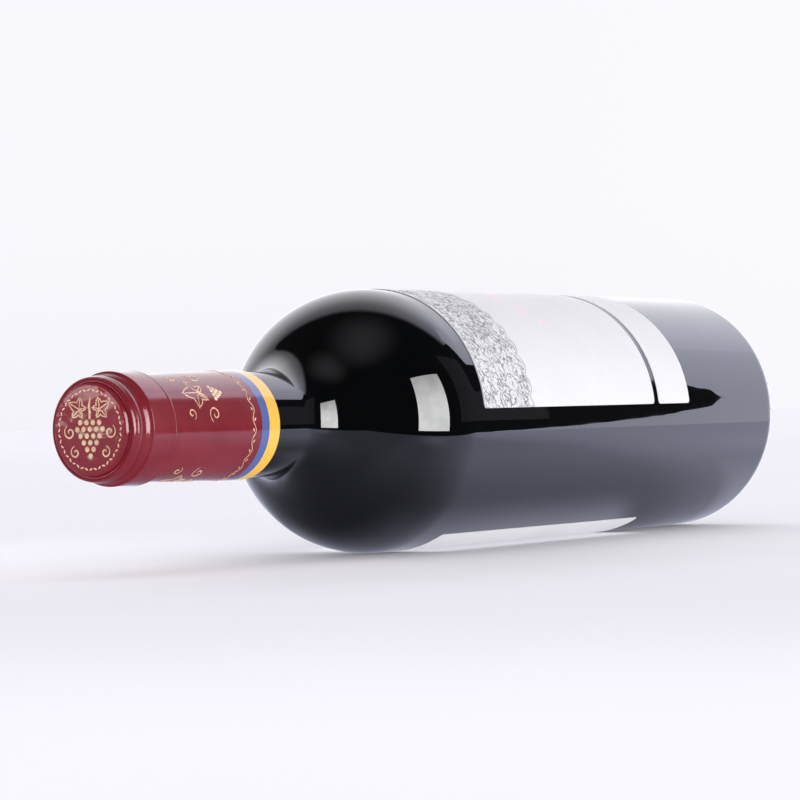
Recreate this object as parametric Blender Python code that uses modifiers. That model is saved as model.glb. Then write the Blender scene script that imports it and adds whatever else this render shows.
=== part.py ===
"""A shut wine bottle of the straight-sided, high-shouldered kind, lying on its side.

The bottle's axis runs along X at a height of REST_HEIGHT above the floor, with the mouth at -X and
the base at +X. Heights along the bottle are measured from its base, as on a drawing of it standing.
"""

import math

import bmesh
import bpy
from mathutils import Matrix

MM = 0.001
MERGE_DISTANCE = 0.05 * MM
SMOOTH_UP_TO = math.radians(35)

# The bottle as a whole: the glass is 300 mm tall, and the capsule's raised end stands over it
TOTAL_HEIGHT = 302.1 * MM
BODY_RADIUS = 36.9 * MM
FACETS = 72
FACET_ANGLE = 2 * math.pi / FACETS

# The base, with the push-up of its punt
HEEL_RADIUS = 6.4 * MM
PUNT_MOUTH_RADIUS = 27 * MM
PUNT_EDGE_RADIUS = 3 * MM
PUNT_WALL_ANGLE = math.radians(68)

# The shoulder and the neck
SHOULDER_START = 182.1 * MM
SHOULDER_RADIUS = 38.9 * MM
NECK_FILLET_RADIUS = 20.3 * MM
NECK_RADIUS = 14 * MM
NECK_TOP_RADIUS = 12.95 * MM

# The finish, which is the ring and the lip that the capsule covers. LIP_TOP is the foil over the lip
RING_FOOT = 285.2 * MM
RING_RADIUS = 13.85 * MM
RING_TOP = 294.3 * MM
GROOVE_HEIGHT = 297 * MM
GROOVE_RADIUS = 12.5 * MM
LIP_TOP = 300.57 * MM
LIP_RADIUS = 12.77 * MM
LIP_ROUNDING = 0.7 * MM
RING_ROUNDING = 1.1 * MM
RING_SLOPE = 1.4 * MM
RING_RUN_OUT = 0.3 * MM

# The capsule is foil that hangs a little clear of the glass, with a raised disc on its end
CAPSULE_FOOT = 242.2 * MM
CAPSULE_GAP = 0.27 * MM
FOIL_THICKNESS = 0.3 * MM
DISC_RADIUS = 11.3 * MM
DISC_EDGE = 0.45 * MM

# The paper labels: angles run from the far side at 0 over the top at 90 to the near side at 180
PAPER_GAP = 0.1 * MM
PAPER_THICKNESS = 0.2 * MM
LABEL_CORNER = 1.2 * MM
CORNER_STEPS = 4
FRONT_LABEL = {"start": 25, "end": 176, "foot": 81.6 * MM, "head": 177.6 * MM}
LOWER_STRIP = {"start": 25, "end": 176, "foot": 59.7 * MM, "head": 78.9 * MM}
BACK_LABEL = {"start": 241, "end": 320, "foot": 60.4 * MM, "head": 171.7 * MM}

# The flat that the bottle lies on is two facets wide in the glass and in the label under it
SETTLED_DEPTH = 0.15 * MM
PAPER_BUILD_UP = PAPER_GAP + PAPER_THICKNESS
REST_HEIGHT = BODY_RADIUS + SETTLED_DEPTH


def clear_scene():
    """Leave nothing of the startup scene."""
    for found in list(bpy.data.objects):
        bpy.data.objects.remove(found, do_unlink=True)


def make_material(name, colour, roughness, metallic=0.0, coat=0.0):
    """A plain finish with the part's own colour."""
    material = bpy.data.materials.new(name)
    material.use_nodes = True
    shader = material.node_tree.nodes["Principled BSDF"]
    shader.inputs["Base Color"].default_value = (*colour, 1)
    shader.inputs["Roughness"].default_value = roughness
    shader.inputs["Metallic"].default_value = metallic
    shader.inputs["Coat Weight"].default_value = coat
    return material


def arc(centre, radius, start, end, steps):
    """Points of an arc, as (radius, height) pairs, from one angle in degrees to another."""
    points = []
    for step in range(steps + 1):
        angle = math.radians(start + (end - start) * step / steps)
        points.append((centre[0] + radius * math.cos(angle), centre[1] + radius * math.sin(angle)))
    return points


def finish_outline(proud):
    """The lip, the ring and the narrow end of the neck from the top down, standing proud of the glass."""
    top = LIP_TOP - CAPSULE_GAP - FOIL_THICKNESS + proud
    lip = LIP_RADIUS + proud
    ring = RING_RADIUS + proud
    neck = NECK_TOP_RADIUS + proud
    lip_centre = (lip - LIP_ROUNDING, top - LIP_ROUNDING)
    points = arc(lip_centre, LIP_ROUNDING, 90, 0, 4)
    points.append((GROOVE_RADIUS + proud, GROOVE_HEIGHT))
    ring_centre = ring - RING_ROUNDING
    points += arc((ring_centre, RING_TOP), RING_ROUNDING, 75, 0, 3)
    points += arc((ring_centre, RING_FOOT + RING_SLOPE), RING_ROUNDING, 0, -55, 2)
    points.append((neck, RING_FOOT - RING_RUN_OUT))
    return points


def shoulder_outline():
    """The concave fillet under the neck and the convex shoulder, which meet on one tangent."""
    reach = BODY_RADIUS - NECK_RADIUS
    turn = math.acos(1 - reach / (SHOULDER_RADIUS + NECK_FILLET_RADIUS))
    meeting = SHOULDER_START + (SHOULDER_RADIUS + NECK_FILLET_RADIUS) * math.sin(turn)
    turn = math.degrees(turn)
    fillet = arc((NECK_RADIUS + NECK_FILLET_RADIUS, meeting), NECK_FILLET_RADIUS, 180, 180 + turn, 6)
    shoulder = arc((BODY_RADIUS - SHOULDER_RADIUS, SHOULDER_START), SHOULDER_RADIUS, turn, 0, 9)
    return fillet + shoulder[1:]


def base_outline():
    """The heel, the ring that a standing bottle rests on, and the dome of the punt."""
    heel = arc((BODY_RADIUS - HEEL_RADIUS, HEEL_RADIUS), HEEL_RADIUS, 0, -90, 5)
    wall = math.degrees(PUNT_WALL_ANGLE)
    edge = arc((PUNT_MOUTH_RADIUS, PUNT_EDGE_RADIUS), PUNT_EDGE_RADIUS, -90, -90 - wall, 3)
    rise = edge[-1][0] / math.tan(PUNT_WALL_ANGLE)
    dome_radius = math.hypot(edge[-1][0], rise)
    dome = arc((0, edge[-1][1] - rise), dome_radius, 90 - wall, 90, 7)
    return heel + edge + dome[1:]


def turned(name, outline, material):
    """A solid of revolution from an outline that runs down its outer side."""
    mesh = bpy.data.meshes.new(name)
    places = [(radius, 0, height) for radius, height in outline]
    mesh.from_pydata(places, [(i, i + 1) for i in range(len(places) - 1)], [])
    piece = bpy.data.objects.new(name, mesh)
    collection.objects.link(piece)
    spin = piece.modifiers.new("turn", "SCREW")
    spin.steps = FACETS
    spin.render_steps = FACETS
    spin.use_merge_vertices = True
    spin.merge_threshold = MERGE_DISTANCE
    piece.matrix_world = Matrix.Translation((TOTAL_HEIGHT / 2, 0, REST_HEIGHT)) @ Matrix.Rotation(
        -math.pi / 2, 4, "Y"
    )
    mesh.materials.append(material)
    return piece


def settle(piece, level):
    """Flatten what would lie lower than the level, so that the round bottle has a flat to rest on."""
    bpy.context.view_layer.update()
    graph = bpy.context.evaluated_depsgraph_get()
    mesh = bpy.data.meshes.new_from_object(piece.evaluated_get(graph))
    mesh.transform(piece.matrix_world)
    for vertex in mesh.vertices:
        vertex.co.z = max(vertex.co.z, level)
    piece.modifiers.clear()
    piece.matrix_world = Matrix.Identity(4)
    piece.data = mesh
    mesh.shade_smooth()
    mesh.set_sharp_from_angle(angle=SMOOTH_UP_TO)


def make_glass():
    """The closed bottle in dark glass: cork, wine and the inside of the neck can't be seen."""
    dark_glass = make_material("dark glass", (0.010, 0.012, 0.012), 0.06)
    lip_height = LIP_TOP - CAPSULE_GAP - FOIL_THICKNESS
    finish = [(0, lip_height)] + finish_outline(0) + [(NECK_RADIUS, CAPSULE_FOOT)]
    outline = finish + shoulder_outline() + base_outline()
    glass = turned("glass_bottle", outline, dark_glass)
    settle(glass, PAPER_BUILD_UP)


def make_capsule():
    """The foil hood over the lip, ring and neck, open at its foot, with a disc raised on its end."""
    red_foil = make_material("red foil", (0.258, 0.032, 0.045), 0.32, 0.1, 0.4)
    disc = [(0, TOTAL_HEIGHT), (DISC_RADIUS, TOTAL_HEIGHT), (DISC_RADIUS + DISC_EDGE, LIP_TOP)]
    outside = disc + finish_outline(CAPSULE_GAP + FOIL_THICKNESS)
    outside.append((NECK_RADIUS + CAPSULE_GAP + FOIL_THICKNESS, CAPSULE_FOOT))
    inside = [(0, LIP_TOP - FOIL_THICKNESS)] + finish_outline(CAPSULE_GAP)
    inside.append((NECK_RADIUS + CAPSULE_GAP, CAPSULE_FOOT))
    capsule = turned("capsule", outside + inside[::-1], red_foil)
    settle(capsule, PAPER_BUILD_UP)


def wrap(mesh, start):
    """Bend a flat sheet round the glass. Heights run to -X, which mirrors it, so its faces are turned."""
    for vertex in mesh.verts:
        along, height, proud = vertex.co
        angle = start + along
        radius = BODY_RADIUS + PAPER_GAP + proud
        vertex.co.x = TOTAL_HEIGHT / 2 - height
        vertex.co.y = radius * math.cos(angle)
        vertex.co.z = REST_HEIGHT + radius * math.sin(angle)
    bmesh.ops.reverse_faces(mesh, faces=mesh.faces[:])


def make_label(name, place, material):
    """A sheet of paper with rounded corners: drawn flat, creased at each facet, then wrapped."""
    start = math.radians(place["start"])
    span = math.radians(place["end"]) - start
    mesh = bmesh.new()
    bmesh.ops.create_grid(mesh, x_segments=1, y_segments=1, size=0.5)
    size = (BODY_RADIUS * span, place["head"] - place["foot"], 1)
    bmesh.ops.scale(mesh, vec=size, verts=mesh.verts[:])
    bmesh.ops.bevel(
        mesh,
        geom=mesh.verts[:],
        offset=LABEL_CORNER,
        offset_type="OFFSET",
        segments=CORNER_STEPS,
        profile=0.5,
        affect="VERTICES",
        material=-1,
    )
    middle = (BODY_RADIUS * span / 2, (place["head"] + place["foot"]) / 2, 0)
    bmesh.ops.translate(mesh, vec=middle, verts=mesh.verts[:])
    bmesh.ops.scale(mesh, vec=(1 / BODY_RADIUS, 1, 1), verts=mesh.verts[:])
    first = math.floor(start / FACET_ANGLE) + 1
    last = math.ceil((start + span) / FACET_ANGLE) - 1
    for crease in range(first, last + 1):
        bmesh.ops.bisect_plane(
            mesh,
            geom=mesh.verts[:] + mesh.edges[:] + mesh.faces[:],
            dist=1e-7,
            plane_co=(crease * FACET_ANGLE - start, 0, 0),
            plane_no=(1, 0, 0),
        )
    raised = bmesh.ops.extrude_face_region(mesh, geom=mesh.faces[:])["geom"]
    bmesh.ops.translate(
        mesh,
        vec=(0, 0, PAPER_THICKNESS),
        verts=[part for part in raised if isinstance(part, bmesh.types.BMVert)],
    )
    bmesh.ops.recalc_face_normals(mesh, faces=mesh.faces[:])
    inner = [vertex for vertex in mesh.verts if vertex.co.z < PAPER_THICKNESS / 2]
    wrap(mesh, start)
    for vertex in mesh.verts:
        vertex.co.z = max(vertex.co.z, 0)
    for vertex in inner:
        vertex.co.z = max(vertex.co.z, PAPER_THICKNESS)
    data = bpy.data.meshes.new(name)
    mesh.to_mesh(data)
    mesh.free()
    data.materials.append(material)
    collection.objects.link(bpy.data.objects.new(name, data))


clear_scene()
collection = bpy.data.collections.new("wine_bottle")
bpy.context.scene.collection.children.link(collection)
make_glass()
make_capsule()
label_paper = make_material("label paper", (0.90, 0.90, 0.91), 0.7)
make_label("front_label", FRONT_LABEL, label_paper)
make_label("lower_strip", LOWER_STRIP, label_paper)
make_label("back_label", BACK_LABEL, label_paper)
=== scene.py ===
"""The looks of a shut wine bottle that lies on its side on a white table."""

import math

import bmesh
import bpy
from mathutils import Matrix, Vector


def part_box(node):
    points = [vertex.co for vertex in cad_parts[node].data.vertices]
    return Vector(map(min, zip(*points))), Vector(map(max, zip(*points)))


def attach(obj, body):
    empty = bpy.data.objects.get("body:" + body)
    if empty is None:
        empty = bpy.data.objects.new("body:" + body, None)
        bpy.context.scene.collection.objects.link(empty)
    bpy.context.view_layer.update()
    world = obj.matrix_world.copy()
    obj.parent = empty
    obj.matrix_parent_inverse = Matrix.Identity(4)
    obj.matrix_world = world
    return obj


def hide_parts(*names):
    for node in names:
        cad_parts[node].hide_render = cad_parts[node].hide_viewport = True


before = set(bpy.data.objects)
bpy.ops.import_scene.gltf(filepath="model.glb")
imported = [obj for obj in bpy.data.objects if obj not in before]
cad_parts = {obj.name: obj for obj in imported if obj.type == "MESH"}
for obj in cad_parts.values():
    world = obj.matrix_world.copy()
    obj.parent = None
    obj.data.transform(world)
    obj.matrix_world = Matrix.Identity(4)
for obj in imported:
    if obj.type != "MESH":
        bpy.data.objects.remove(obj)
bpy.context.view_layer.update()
MM = 0.001


# Glass bottle
# One blown piece of near-black glass, full and shut, with a high round shoulder and a deep push-up.
# Its outline is drawn with straight lines and arcs and turned about the bottle's axis.
glass_low, glass_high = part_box("glass_bottle")
capsule_low, capsule_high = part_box("capsule")
BODY_RADIUS = (glass_high.y - glass_low.y) / 2
AXIS_HEIGHT = glass_high.z - BODY_RADIUS
TOTAL_HEIGHT = glass_high.x - capsule_low.x
GLASS_TOP = glass_high.x - glass_low.x
REST_LEVEL = glass_low.z
LIP_RADIUS = 12.1 * MM
NECK_TOP = 284.9 * MM
NECK_TOP_RADIUS = 12.95 * MM
NECK_RADIUS = 14 * MM
CAPSULE_FOOT = TOTAL_HEIGHT / 2 - capsule_high.x
SHOULDER_START = 182.1 * MM
SHOULDER_RADIUS = 38.9 * MM
NECK_FILLET_RADIUS = 20.3 * MM
HEEL_RADIUS = 6.4 * MM
PUNT_MOUTH_RADIUS = 27 * MM
PUNT_EDGE_RADIUS = 3 * MM
PUNT_WALL_ANGLE = 68
AXIS = Vector((0, 0, AXIS_HEIGHT))
ROUND_STEPS = 192
SMOOTH_UP_TO = math.radians(32)
# A ring of faces this far inside each end of a straight stretch keeps its shading straight.
EDGE_RING = 0.8 * MM


def place_at(radius, height):
    """A point of the outline, which is drawn above the axis. Heights run from the base to -X."""
    return Vector((TOTAL_HEIGHT / 2 - height, 0, AXIS_HEIGHT + radius))


def line_to(mesh, tip, radius, height):
    """Draw a straight stretch of an outline and give its new end."""
    tip = bmesh.ops.extrude_vert_indiv(mesh, verts=[tip])["verts"][0]
    tip.co = place_at(radius, height)
    return tip


def lines_to(mesh, tip, *points):
    """Draw straight stretches through points, each a radius and a height in millimetres."""
    for radius, height in points:
        tip = line_to(mesh, tip, radius * MM, height * MM)
    return tip


def arc_to(mesh, tip, radius, height, turn, steps):
    """Draw an arc about a centre, by degrees that are positive where the outline bulges out."""
    swept = bmesh.ops.spin(
        mesh,
        geom=[tip],
        cent=place_at(radius, height),
        axis=(0, 1, 0),
        angle=math.radians(turn),
        steps=steps,
        use_duplicate=False,
    )
    return next(part for part in swept["geom_last"] if isinstance(part, bmesh.types.BMVert))


def turn_round(mesh, steps=ROUND_STEPS):
    """Turn the drawn outline once about the bottle's axis and close it."""
    bmesh.ops.spin(
        mesh,
        geom=mesh.verts[:] + mesh.edges[:],
        cent=AXIS,
        axis=(1, 0, 0),
        angle=2 * math.pi,
        steps=steps,
        use_merge=True,
        use_duplicate=False,
    )
    bmesh.ops.remove_doubles(mesh, verts=mesh.verts[:], dist=2e-6)
    bmesh.ops.recalc_face_normals(mesh, faces=mesh.faces[:])


def finish_piece(name, mesh, material, slot, *replaced):
    """Put a finished bmesh in the scene as a piece of the bottle."""
    data = bpy.data.meshes.new(name)
    mesh.to_mesh(data)
    mesh.free()
    data.materials.append(material)
    data.shade_smooth()
    data.set_sharp_from_angle(angle=SMOOTH_UP_TO)
    piece = bpy.data.objects.new(name, data)
    bpy.context.scene.collection.objects.link(piece)
    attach(piece, "root")
    if replaced:
        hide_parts(*replaced)


def add_node(tree, kind, settings=None, **inputs):
    """Add a node: settings are its properties, and each input is a value or another node's socket."""
    node = tree.nodes.new("ShaderNode" + kind)
    for key, value in (settings or {}).items():
        setattr(node, key, value)
    for key, value in inputs.items():
        socket = node.inputs[key.replace("_", " ")]
        if isinstance(value, bpy.types.NodeSocket):
            tree.links.new(value, socket)
        else:
            socket.default_value = value
    return node


def maths(tree, operation, *values):
    """The result of a Math node."""
    node = tree.nodes.new("ShaderNodeMath")
    node.operation = operation
    for socket, value in zip(node.inputs, values):
        if isinstance(value, bpy.types.NodeSocket):
            tree.links.new(value, socket)
        else:
            socket.default_value = value
    return node.outputs[0]


def times(tree, first, second):
    """The product of two values."""
    return maths(tree, "MULTIPLY", first, second)


def plus(tree, first, second):
    """The sum of two values."""
    return maths(tree, "ADD", first, second)


def fade(tree, value, start, end, low=0.0, high=1.0):
    """A smooth change from low to high while the value goes from start to end."""
    node = add_node(
        tree,
        "MapRange",
        {"interpolation_type": "SMOOTHSTEP"},
        Value=value,
        From_Min=start,
        From_Max=end,
        To_Min=low,
        To_Max=high,
    )
    return node.outputs["Result"]


def tint(tree, mask, first, second):
    """The first colour where the mask is 0 and the second where it is 1."""
    node = tree.nodes.new("ShaderNodeMix")
    node.data_type = "RGBA"
    for index, value in ((0, mask), (6, first), (7, second)):
        if isinstance(value, bpy.types.NodeSocket):
            tree.links.new(value, node.inputs[index])
        elif index == 0:
            node.inputs[0].default_value = value
        else:
            node.inputs[index].default_value = (*value, 1)
    return node.outputs[2]


def new_finish(name, **constants):
    """A material with its Principled shader and the constants that are the same all over it."""
    material = bpy.data.materials.new(name)
    material.use_nodes = True
    tree = material.node_tree
    shader = tree.nodes["Principled BSDF"]
    for key, value in constants.items():
        shader.inputs[key.replace("_", " ")].default_value = value
    return material, tree, shader


def new_effect(name, inputs, outputs):
    """A node group with named float inputs and outputs, and a Position input."""
    group = bpy.data.node_groups.new(name, "ShaderNodeTree")
    group.interface.new_socket("Position", in_out="INPUT", socket_type="NodeSocketVector")
    for socket, value in inputs.items():
        made = group.interface.new_socket(socket, in_out="INPUT", socket_type="NodeSocketFloat")
        made.default_value = value
    for socket in outputs:
        group.interface.new_socket(socket, in_out="OUTPUT", socket_type="NodeSocketFloat")
    return group, group.nodes.new("NodeGroupInput"), group.nodes.new("NodeGroupOutput")


def place_effect(tree, group, position, **inputs):
    """Place a node group in a material."""
    node = tree.nodes.new("ShaderNodeGroup")
    node.node_tree = group
    tree.links.new(position, node.inputs["Position"])
    for key, value in inputs.items():
        node.inputs[key.replace("_", " ")].default_value = value
    return node


# Handling marks: broad wiped patches that dull a gloss a little, and grains of dust in few of the cells.
DUSTLESS_SHARE = 0.7
handling, marks_in, marks_out = new_effect(
    "handling marks", {"Wipe Scale": 22, "Dust Scale": 70, "Dust Size": 0.02}, ("Wipes", "Dust")
)
marked_place = marks_in.outputs["Position"]
wipe_noise = add_node(
    handling, "TexNoise", Vector=marked_place, Scale=marks_in.outputs["Wipe Scale"], Detail=4.0
)
dust_cells = add_node(handling, "TexVoronoi", Vector=marked_place, Scale=marks_in.outputs["Dust Scale"])
dust_near = maths(handling, "LESS_THAN", dust_cells.outputs["Distance"], marks_in.outputs["Dust Size"])
dust_pick = add_node(handling, "SeparateColor", Color=dust_cells.outputs["Color"])
dust_few = maths(handling, "GREATER_THAN", dust_pick.outputs[0], DUSTLESS_SHARE)
handling.links.new(fade(handling, wipe_noise.outputs["Fac"], 0.42, 0.68), marks_out.inputs["Wipes"])
handling.links.new(maths(handling, "MULTIPLY", dust_near, dust_few), marks_out.inputs["Dust"])

dark_glass, tree, shader = new_finish("dark glass", IOR=1.5)
where = add_node(tree, "TexCoord").outputs["Object"]
marks = place_effect(tree, handling, where, Wipe_Scale=26, Dust_Scale=75, Dust_Size=0.022)
body_tint = add_node(tree, "TexNoise", Vector=where, Scale=14.0, Detail=2.0)
green_black = tint(tree, body_tint.outputs["Fac"], (0.0006, 0.0008, 0.0009), (0.0014, 0.0017, 0.0019))
dusted = tint(tree, marks.outputs["Dust"], green_black, (0.10, 0.103, 0.108))
tree.links.new(dusted, shader.inputs["Base Color"])
wiped = fade(tree, marks.outputs["Wipes"], 0, 1, 0.015, 0.04)
dust_roughness = times(tree, marks.outputs["Dust"], 0.5)
tree.links.new(maths(tree, "MAXIMUM", wiped, dust_roughness), shader.inputs["Roughness"])
mould_waves = add_node(tree, "TexNoise", Vector=where, Scale=58.0, Detail=1.0, Roughness=0.4)
waved = add_node(tree, "Bump", Height=mould_waves.outputs["Fac"], Distance=0.00006, Strength=0.5)
tree.links.new(waved.outputs["Normal"], shader.inputs["Normal"])

shoulder_turn = math.acos(1 - (BODY_RADIUS - NECK_RADIUS) / (SHOULDER_RADIUS + NECK_FILLET_RADIUS))
fillet_height = SHOULDER_START + (SHOULDER_RADIUS + NECK_FILLET_RADIUS) * math.sin(shoulder_turn)
shoulder_turn = math.degrees(shoulder_turn)
glass = bmesh.new()
tip = bmesh.ops.create_vert(glass, co=place_at(0, GLASS_TOP))["vert"][0]
tip = line_to(glass, tip, LIP_RADIUS, GLASS_TOP)
tip = lines_to(glass, tip, (12.7, 299.3), (12.5, 297), (13.1, 295.4), (13.85, 294.3), (13.85, 286.6))
tip = line_to(glass, tip, NECK_TOP_RADIUS, NECK_TOP)
tip = line_to(glass, tip, NECK_RADIUS, CAPSULE_FOOT + EDGE_RING)
tip = line_to(glass, tip, NECK_RADIUS, CAPSULE_FOOT)
tip = line_to(glass, tip, NECK_RADIUS, fillet_height + EDGE_RING)
tip = line_to(glass, tip, NECK_RADIUS, fillet_height)
tip = arc_to(glass, tip, NECK_RADIUS + NECK_FILLET_RADIUS, fillet_height, -shoulder_turn, 20)
tip = arc_to(glass, tip, BODY_RADIUS - SHOULDER_RADIUS, SHOULDER_START, shoulder_turn, 32)
tip = line_to(glass, tip, BODY_RADIUS, SHOULDER_START - EDGE_RING)
tip = line_to(glass, tip, BODY_RADIUS, HEEL_RADIUS + EDGE_RING)
tip = line_to(glass, tip, BODY_RADIUS, HEEL_RADIUS)
tip = arc_to(glass, tip, BODY_RADIUS - HEEL_RADIUS, HEEL_RADIUS, 90, 14)
tip = line_to(glass, tip, PUNT_MOUTH_RADIUS, 0)
tip = arc_to(glass, tip, PUNT_MOUTH_RADIUS, PUNT_EDGE_RADIUS, PUNT_WALL_ANGLE, 8)
edge_radius = tip.co.z - AXIS_HEIGHT
edge_height = TOTAL_HEIGHT / 2 - tip.co.x
dome_centre = edge_height - edge_radius / math.tan(math.radians(PUNT_WALL_ANGLE))
tip = arc_to(glass, tip, 0, dome_centre, -PUNT_WALL_ANGLE, 20)
tip.co.z = AXIS_HEIGHT
turn_round(glass)
for vertex in glass.verts:
    vertex.co.z = max(vertex.co.z, REST_LEVEL)
finish_piece("bottle_glass", glass, dark_glass, "dark_glass", "glass_bottle")


# Mould marks
# Small raised crescents in a ring under the heel, which keep a standing bottle from sliding, and a row
# of dots round the heel that the mould leaves. They are glass, so they share the bottle's finish.
CRESCENT_COUNT = 84
CRESCENT_RING = 29.2 * MM
CRESCENT_DEPTH = 0.26 * MM
CRESCENT_RADIUS = 0.55 * MM
CRESCENT_SHAPE = (0.45, 0.5, 1.5)
DOT_RING_HEIGHT = 3.1 * MM
DOT_COUNT = 13
DOT_RADIUS = 0.45 * MM
DOT_FLATTENING = 0.22
FIRST_DOT = math.radians(12)
DOT_SPACING = math.radians(6.5)

mould_marks = bmesh.new()
onto_ring = (TOTAL_HEIGHT / 2 - CRESCENT_DEPTH, 0, AXIS_HEIGHT + CRESCENT_RING)
for index in range(CRESCENT_COUNT):
    grown = bmesh.ops.create_icosphere(mould_marks, subdivisions=1, radius=CRESCENT_RADIUS)["verts"]
    bmesh.ops.scale(mould_marks, vec=CRESCENT_SHAPE, verts=grown)
    bmesh.ops.translate(mould_marks, vec=onto_ring, verts=grown)
    spread = Matrix.Rotation(2 * math.pi * index / CRESCENT_COUNT, 3, "X")
    bmesh.ops.rotate(mould_marks, cent=AXIS, matrix=spread, verts=grown)
dot_lean = math.asin((HEEL_RADIUS - DOT_RING_HEIGHT) / HEEL_RADIUS)
dot_ring_radius = BODY_RADIUS - HEEL_RADIUS + HEEL_RADIUS * math.cos(dot_lean)
lean = Matrix.Rotation(dot_lean, 3, "Y")
for index in range(DOT_COUNT):
    grown = bmesh.ops.create_icosphere(mould_marks, subdivisions=2, radius=DOT_RADIUS)["verts"]
    bmesh.ops.scale(mould_marks, vec=(1, 1, DOT_FLATTENING), verts=grown)
    bmesh.ops.rotate(mould_marks, cent=(0, 0, 0), matrix=lean, verts=grown)
    bmesh.ops.translate(mould_marks, vec=place_at(dot_ring_radius, DOT_RING_HEIGHT), verts=grown)
    round_by = Matrix.Rotation(FIRST_DOT + DOT_SPACING * index, 3, "X")
    bmesh.ops.rotate(mould_marks, cent=AXIS, matrix=round_by, verts=grown)
finish_piece("bottle_mould_marks", mould_marks, dark_glass, "dark_glass")


# Capsule
# A hood of thin lacquered foil, shrunk over the lip, the ring and the neck, and cut straight at its foot.
# It is red with a blue and a yellow band printed at the foot. A low disc closes its end, and the foil
# there keeps the soft puckers of the press.
FOIL_THICKNESS = 0.24 * MM
BLUE_FOOT = 246.6 * MM
BLUE_HEAD = 249.7 * MM
BAND_EDGE = 0.06 * MM
FOIL_FOOT_RADIUS = 14.57 * MM
FOIL_NECK_RADIUS = 13.55 * MM
FOIL_NECK_TOP = 284.6 * MM
FOIL_TAPER = (FOIL_FOOT_RADIUS - FOIL_NECK_RADIUS) / (FOIL_NECK_TOP - CAPSULE_FOOT)
END_LEVEL = 301.95 * MM


def foil_radius(height):
    """The radius of the capsule's neck at a height."""
    return FOIL_NECK_RADIUS + FOIL_TAPER * (FOIL_NECK_TOP - height)


red_foil, tree, shader = new_finish(
    "red foil", IOR=1.5, Metallic=0.0, Specular_IOR_Level=0.15, Coat_Weight=0.52, Coat_Roughness=0.1
)
where = add_node(tree, "TexCoord").outputs["Object"]
along = add_node(tree, "SeparateXYZ", Vector=where).outputs["X"]
marks = place_effect(tree, handling, where, Wipe_Scale=60, Dust_Scale=160, Dust_Size=0.02)
mottle = add_node(tree, "TexNoise", Vector=where, Scale=90.0, Detail=5.0, Roughness=0.6)
mottled = fade(tree, mottle.outputs["Fac"], 0.3, 0.7)
lacquer = tint(tree, mottled, (0.190, 0.012, 0.020), (0.230, 0.018, 0.028))
print_wobble = add_node(tree, "TexNoise", Vector=where, Scale=900.0, Detail=1.0)
wobble = times(tree, maths(tree, "SUBTRACT", print_wobble.outputs["Fac"], 0.5), 0.00012)
printed_along = plus(tree, along, wobble)
blue_from = TOTAL_HEIGHT / 2 - BLUE_HEAD
yellow_from = TOTAL_HEIGHT / 2 - BLUE_FOOT
in_blue = fade(tree, printed_along, blue_from - BAND_EDGE, blue_from + BAND_EDGE)
in_yellow = fade(tree, printed_along, yellow_from - BAND_EDGE, yellow_from + BAND_EDGE)
banded = tint(tree, in_blue, lacquer, (0.090, 0.137, 0.37))
banded = tint(tree, in_yellow, banded, (1.0, 0.55, 0.075))
dusted = tint(tree, times(tree, marks.outputs["Dust"], 0.5), banded, (0.5, 0.4, 0.4))
tree.links.new(dusted, shader.inputs["Base Color"])
tree.links.new(fade(tree, marks.outputs["Wipes"], 0, 1, 0.18, 0.27), shader.inputs["Roughness"])
on_end = fade(tree, along, 1.5 * MM - TOTAL_HEIGHT / 2, 1.0 * MM - TOTAL_HEIGHT / 2)
soft_dents = add_node(tree, "TexNoise", Vector=where, Scale=110.0, Detail=2.0, Roughness=0.5)
puckers = add_node(tree, "TexNoise", Vector=where, Scale=210.0, Detail=1.0, Distortion=0.6)
dent_height = times(tree, soft_dents.outputs["Fac"], fade(tree, on_end, 0, 1, 0.32, 2.2))
pucker_height = times(tree, puckers.outputs["Fac"], fade(tree, on_end, 0, 1, 0.0, 1.2))
foil_relief = plus(tree, dent_height, pucker_height)
dented = add_node(tree, "Bump", Height=foil_relief, Distance=0.00030, Strength=0.6)
foil_grain = add_node(tree, "TexNoise", Vector=where, Scale=2600.0, Detail=2.0)
grained = add_node(
    tree,
    "Bump",
    Height=foil_grain.outputs["Fac"],
    Distance=0.000008,
    Strength=0.35,
    Normal=dented.outputs["Normal"],
)
tree.links.new(grained.outputs["Normal"], shader.inputs["Normal"])
tree.links.new(dented.outputs["Normal"], shader.inputs["Coat Normal"])

capsule = bmesh.new()
tip = bmesh.ops.create_vert(capsule, co=place_at(0, END_LEVEL))["vert"][0]
tip = lines_to(capsule, tip, (6, 301.94), (10.98, 302.02))
# The rounded edge of the disc, its slanted side and the valley round it
tip = arc_to(capsule, tip, 10.98 * MM, 301.6 * MM, 71, 6)
tip = lines_to(capsule, tip, (11.67, 300.86))
tip = arc_to(capsule, tip, 11.906 * MM, 300.941 * MM, -71, 4)
tip = lines_to(capsule, tip, (12.2, 300.69), (12.62, 300.88))
# The edge of the lip, its slope and the low bead under it
tip = arc_to(capsule, tip, 12.68 * MM, 300.46 * MM, 72, 6)
tip = lines_to(capsule, tip, (13.18, 299.95), (13.2, 299.6), (13.32, 299.15), (13.38, 298.8), (13.38, 298.5))
# The groove, and the slope up to the ring
tip = lines_to(capsule, tip, (13.3, 298.0), (13.2, 297.5), (13.07, 297.1), (13.07, 296.9), (13.3, 296.6))
tip = lines_to(capsule, tip, (13.62, 295.5), (13.76, 295.1), (14.0, 294.86))
tip = arc_to(capsule, tip, 14.0 * MM, 294.44 * MM, 90, 8)
# The ring, with a fine bead at its foot
tip = lines_to(capsule, tip, (14.42, 294.1), (14.42, 286.7), (14.43, 286.3), (14.5, 286.0))
tip = arc_to(capsule, tip, 14.1 * MM, 286.0 * MM, 62, 5)
tip = lines_to(capsule, tip, (13.9, 285.25), (13.66, 285.0), (13.55, 284.6))
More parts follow.
